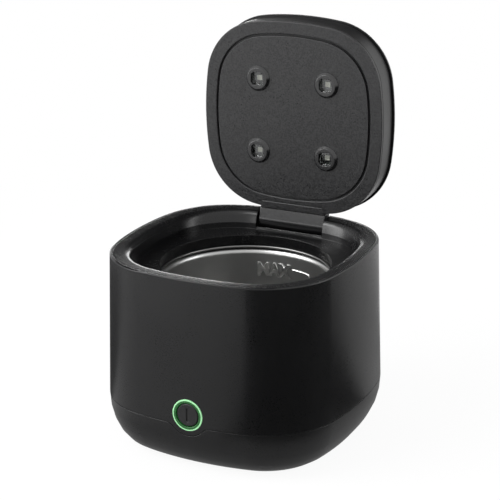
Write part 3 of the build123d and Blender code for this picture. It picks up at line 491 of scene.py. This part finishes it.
letters = bpy.data.curves.new("fillLetters", "FONT")
letters.body = fillMark["word"]
letters.extrude = fillMark["extrude"]  # any depth will do, as the letters are stretched to fit the wall
letters.bevel_depth = fillMark["roundEdge"] / 2
letters.offset = fillMark["bold"]
lettersMesh = frozenMesh(letters, "fillLetters")
across = [point.co.x for point in lettersMesh.vertices]
upward = [point.co.y for point in lettersMesh.vertices]
outward = [point.co.z for point in lettersMesh.vertices]
for point in lettersMesh.vertices:
    arc = stretched(point.co.x, across, fillMark["from"], fillMark["to"])
    height = stretched(point.co.y, upward, fillMark["low"], fillMark["high"])
    point.co = onWall(arc, height, stretched(point.co.z, outward, -fillMark["sunk"], fillMark["proud"]))
newPiece("fillLetters", lettersMesh, markSteelHighlit, "housing")

level = bpy.data.curves.new("levelLine", "CURVE")
level.dimensions = "3D"
level.bevel_depth = fillMark["lineRadius"] * mm
level.bevel_resolution = fillMark["lineRounding"]
level.use_fill_caps = True
track = level.splines.new("NURBS")
track.points.add(len(fillMark["line"]) - 1)
for point, (arc, height) in zip(track.points, fillMark["line"]):
    point.co = (*onWall(arc, height, fillMark["lineProud"]), 1)
track.order_u = 3
track.use_endpoint_u = True
newPiece("levelLine", frozenMesh(level, "levelLine"), markSteelHighlit, "housing")
print("fill mark raised on the tank wall")


# Tank bead: a narrow rolled steel edge shows in the gap between the collar and the lip

tankBead = {"radius": 36.25, "height": 70.1, "thickness": 0.48, "around": 96, "across": 10}
shape = bmesh.new()
rings = []
for i in range(tankBead["around"]):
    turn = 2 * pi * i / tankBead["around"]
    ring = []
    for j in range(tankBead["across"]):
        lean = 2 * pi * j / tankBead["across"]
        reach = tankBead["radius"] + tankBead["thickness"] * cos(lean)
        height = tankBead["height"] + tankBead["thickness"] * sin(lean)
        ring.append(shape.verts.new(Vector((reach * sin(turn), reach * cos(turn), height)) * mm))
    rings.append(ring)
for first, second in zip(rings, rings[1:] + rings[:1]):
    for j in range(tankBead["across"]):
        shape.faces.new((first[j], second[j], second[j - 1], first[j - 1]))
bmesh.ops.recalc_face_normals(shape, faces=shape.faces)
for face in shape.faces:
    face.smooth = True
# its steel is painted darker, as the shade in the gap between collar and lip
newPiece("tankBead", meshFrom(shape, "tankBead"), beadSteelShaded, "housing")
print("tank bead made")


# Lamps: each chip becomes a package with a tapered cavity and a filled, slightly domed phosphor; the
# package's dark grey is painted shade for the recess behind the lamp window

lampChip = {"frame": 0.55, "taper": 0.3, "depth": 0.5, "corner": 0.15, "cornerSegments": 2,
            "fillGap": 0.05, "fillDepth": 0.12, "dome": 0.12, "domeShrink": 0.8, "domeSteps": 3}


def squareRing(shape, centre, half, depth):
    corners = ((-half, -half), (half, -half), (half, half), (-half, half))
    return [shape.verts.new(Vector((centre.x + a * mm, centre.y + depth * mm, centre.z + b * mm)))
            for a, b in corners]


def bridge(shape, first, second):
    for i in range(4):
        shape.faces.new((first[i], first[(i + 1) % 4], second[(i + 1) % 4], second[i]))


for number in range(1, 5):
    low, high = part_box("lamp_diode_%d" % number)
    front = Vector(((low.x + high.x) / 2, low.y, (low.z + high.z) / 2))
    half = (high.x - low.x) / 2 / mm
    thick = (high.y - low.y) / mm
    shape = bmesh.new()
    back = squareRing(shape, front, half, thick)
    rim = squareRing(shape, front, half, 0)
    lip = squareRing(shape, front, half - lampChip["frame"], 0)
    well = squareRing(shape, front, half - lampChip["frame"] - lampChip["taper"], lampChip["depth"])
    shape.faces.new(back)
    bridge(shape, back, rim)
    bridge(shape, rim, lip)
    bridge(shape, lip, well)
    shape.faces.new(well)
    bmesh.ops.recalc_face_normals(shape, faces=shape.faces)
    mesh = meshFrom(shape, "lampPackage_%d" % number)
    package = newPiece("lampPackage_%d" % number, mesh, lampPackageShaded, "lid")
    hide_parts("lamp_diode_%d" % number)
    rounding = package.modifiers.new("roundCorners", "BEVEL")
    rounding.width = lampChip["corner"] * mm
    rounding.segments = lampChip["cornerSegments"]
    shape = bmesh.new()
    rings = []
    for step in range(lampChip["domeSteps"] + 1):
        share = step / lampChip["domeSteps"]
        fillHalf = (half - lampChip["frame"] - lampChip["fillGap"]) * (1 - lampChip["domeShrink"] * share)
        fillDepth = lampChip["fillDepth"] - lampChip["dome"] * sin(share * pi / 2)
        rings.append(squareRing(shape, front, fillHalf, fillDepth))
    for outer, inner in zip(rings, rings[1:]):
        bridge(shape, outer, inner)
    shape.faces.new(rings[-1])
    bmesh.ops.recalc_face_normals(shape, faces=shape.faces)
    mesh = meshFrom(shape, "lampPhosphor_%d" % number)
    newPiece("lampPhosphor_%d" % number, mesh, phosphor, "lid")
print("four lamp chips made")


# Floor, backdrop and light

# the floor reads as paper, a touch less white close to the cleaner
floorLook = {"size": 8.0, "colour": "#f6f6f6", "nearShare": 0.93, "farShare": 1.0, "nearReach": 0.08,
             "farReach": 0.40}
bpy.ops.mesh.primitive_plane_add(size=floorLook["size"], location=(0, 0, 0))
floor = bpy.context.object
floor.name = "floor"
material, tree, output = newMaterial("whiteSweep")
rays = addNode(tree, "ShaderNodeLightPath")
seen = addNode(tree, "ShaderNodeMath", {"operation": "MAXIMUM"},
               {0: rays.outputs["Is Camera Ray"], 1: rays.outputs["Is Glossy Ray"]})
seenThrough = addNode(tree, "ShaderNodeMath", {"operation": "MAXIMUM"},
                      {0: seen.outputs["Value"], 1: rays.outputs["Is Transmission Ray"]})
place = addNode(tree, "ShaderNodeTexCoord")
away = addNode(tree, "ShaderNodeVectorMath", {"operation": "LENGTH"}, {0: place.outputs["Object"]})
paling = addNode(tree, "ShaderNodeMapRange",
                 {"interpolation_type": "SMOOTHSTEP", "From Min": floorLook["nearReach"],
                  "From Max": floorLook["farReach"], "To Min": floorLook["nearShare"],
                  "To Max": floorLook["farShare"]},
                 {"Value": away.outputs["Value"]})
share = addNode(tree, "ShaderNodeMath", {"operation": "MULTIPLY"},
                {0: seenThrough.outputs["Value"], 1: paling.outputs["Result"]})
paper = addNode(tree, "ShaderNodeEmission", {"Color": white, "Strength": 1.0})
matt = addNode(tree, "ShaderNodeBsdfDiffuse", {"Color": linearColour(floorLook["colour"])})
mix = addNode(tree, "ShaderNodeMixShader", None,
              {0: share.outputs["Value"], 1: matt.outputs["BSDF"], 2: paper.outputs["Emission"]})
tree.links.new(mix.outputs["Shader"], output.inputs["Surface"])
floor.data.materials.append(material)

# Cards laid round the cleaner are seen only in its sheen: black ones keep its corner and its left side dark,
# and grey ones take the glare off the front and the right side. Turns go from the front to the right, and
# sizes are in metres.
studioCards = {
    "nearCard": {"fromTurn": -180, "toTurn": 180, "inner": 0.032, "outer": 0.080, "wall": 0.0, "grey": 0.40},
    "frontRightCard": {"fromTurn": 4, "toTurn": 126, "inner": 0.080, "outer": 0.34, "wall": 0.10,
                       "grey": 0.0},
    "frontCard": {"fromTurn": -78, "toTurn": 4, "inner": 0.080, "outer": 0.34, "wall": 0.0, "grey": 0.55},
    "leftCard": {"fromTurn": -158, "toTurn": -78, "inner": 0.080, "outer": 0.34, "wall": 0.0, "grey": 0.07},
    "rightCard": {"fromTurn": 126, "toTurn": 165, "inner": 0.080, "outer": 0.34, "wall": 0.0, "grey": 0.5},
}
cardBuild = {"steps": 24, "lift": 0.0005}  # the lift keeps a card clear of the floor


def studioCard(name, look):
    shape = bmesh.new()
    rows = []
    for step in range(cardBuild["steps"] + 1):
        swing = (look["toTurn"] - look["fromTurn"]) * step / cardBuild["steps"]
        turn = radians(look["fromTurn"] + swing)
        way = Vector((sin(turn), -cos(turn), 0))
        places = [way * look["inner"], way * look["outer"]]
        if look["wall"]:
            places.append(places[-1] + Vector((0, 0, look["wall"])))
        rows.append([shape.verts.new(place + Vector((0, 0, cardBuild["lift"]))) for place in places])
    for first, second in zip(rows, rows[1:]):
        for i in range(len(first) - 1):
            shape.faces.new((first[i], second[i], second[i + 1], first[i + 1]))
    mesh = meshFrom(shape, name)
    card = bpy.data.objects.new(name, mesh)
    scene.collection.objects.link(card)
    card.visible_camera = False
    card.visible_diffuse = False
    card.visible_shadow = False
    card.visible_transmission = False
    material, tree, output = newMaterial(name + "Felt")
    felt = addNode(tree, "ShaderNodeEmission", {"Color": white, "Strength": look["grey"]})
    tree.links.new(felt.outputs["Emission"], output.inputs["Surface"])
    mesh.materials.append(material)


for name, look in studioCards.items():
    studioCard(name, look)

# the sheen sees a white room with a black flag hung high at the rear left
studio = {"ambient": 0.6, "room": 1.0, "flag": 0.05, "flagAt": (-0.321, 0.630, 0.707), "paleTo": 0.72,
          "darkFrom": 0.88}
world = bpy.data.worlds.new("studio")
scene.world = world
world.use_nodes = True
tree = world.node_tree
tree.nodes.clear()
output = addNode(tree, "ShaderNodeOutputWorld")
rays = addNode(tree, "ShaderNodeLightPath")
place = addNode(tree, "ShaderNodeTexCoord")
towardsFlag = addNode(tree, "ShaderNodeVectorMath", {"operation": "DOT_PRODUCT", 1: studio["flagAt"]},
                      {0: place.outputs["Generated"]})
dimming = addNode(tree, "ShaderNodeMapRange",
                  {"interpolation_type": "SMOOTHSTEP", "From Min": studio["paleTo"],
                   "From Max": studio["darkFrom"], "To Min": studio["room"], "To Max": studio["flag"]},
                  {"Value": towardsFlag.outputs["Value"]})
ambient = addNode(tree, "ShaderNodeBackground", {"Color": white, "Strength": studio["ambient"]})
reflected = addNode(tree, "ShaderNodeBackground", {"Color": white}, {"Strength": dimming.outputs["Result"]})
backdrop = addNode(tree, "ShaderNodeBackground", {"Color": white, "Strength": 1.0})
sheen = addNode(tree, "ShaderNodeMixShader", None,
                {0: rays.outputs["Is Glossy Ray"], 1: ambient.outputs["Background"],
                 2: reflected.outputs["Background"]})
shown = addNode(tree, "ShaderNodeMixShader", None,
                {0: rays.outputs["Is Camera Ray"], 1: sheen.outputs["Shader"],
                 2: backdrop.outputs["Background"]})
tree.links.new(shown.outputs["Shader"], output.inputs["Surface"])

studioLights = {
    "leftSoftbox": {"at": (-0.9, -0.5, 0.45), "size": (0.6, 0.8), "power": 8.0},
    "rightSoftbox": {"at": (0.9, 0.35, 0.4), "size": (0.5, 0.8), "power": 5.0},
    "keySoftbox": {"at": (-0.45, -0.49, 0.82), "size": (0.55, 0.5), "power": 5.5},
    "frontStrip": {"at": (-0.53, -1.03, 0.39), "size": (0.7, 0.16), "power": 1.6},
    "rearStrip": {"at": (-0.55, 1.07, 0.14), "size": (0.9, 0.12), "power": 2.2},
}
lightAim = Vector((0, 0, 0.07))  # all of them point at the middle of the cleaner
for name, look in studioLights.items():
    light = bpy.data.lights.new(name, "AREA")
    light.shape = "RECTANGLE"
    light.size, light.size_y = look["size"]
    light.energy = look["power"]
    lamp = bpy.data.objects.new(name, light)
    scene.collection.objects.link(lamp)
    lamp.location = look["at"]
    lamp.rotation_euler = (lightAim - lamp.location).to_track_quat("-Z", "Y").to_euler()
print("studio lit")


# Camera at the photograph's angle

cameraView = {"azimuth": 26.69, "elevation": 18.60, "roll": -0.41, "distance": 749.1,
              "asideBy": 1.83, "upBy": 36.08, "focusHeight": 42.445, "lens": 126.17, "sensor": 36}
azimuth = radians(cameraView["azimuth"])
elevation = radians(cameraView["elevation"])
roll = radians(cameraView["roll"])
forward = Vector((-sin(azimuth) * cos(elevation), cos(azimuth) * cos(elevation), -sin(elevation)))
right = Vector((cos(azimuth), sin(azimuth), 0))
up = right.cross(forward)
seat = (right * cameraView["asideBy"] + up * cameraView["upBy"] - forward * cameraView["distance"]
        + Vector((0, 0, cameraView["focusHeight"]))) * mm
turnedRight = right * cos(roll) + up * sin(roll)
turnedUp = up * cos(roll) - right * sin(roll)
camera = bpy.data.objects.new("camera", bpy.data.cameras.new("camera"))
scene.collection.objects.link(camera)
camera.matrix_world = Matrix((
    (turnedRight.x, turnedUp.x, -forward.x, seat.x),
    (turnedRight.y, turnedUp.y, -forward.y, seat.y),
    (turnedRight.z, turnedUp.z, -forward.z, seat.z),
    (0, 0, 0, 1)))
camera.data.lens = cameraView["lens"]
camera.data.sensor_width = cameraView["sensor"]
scene.camera = camera
scene.view_settings.view_transform = "Standard"
print("camera set")
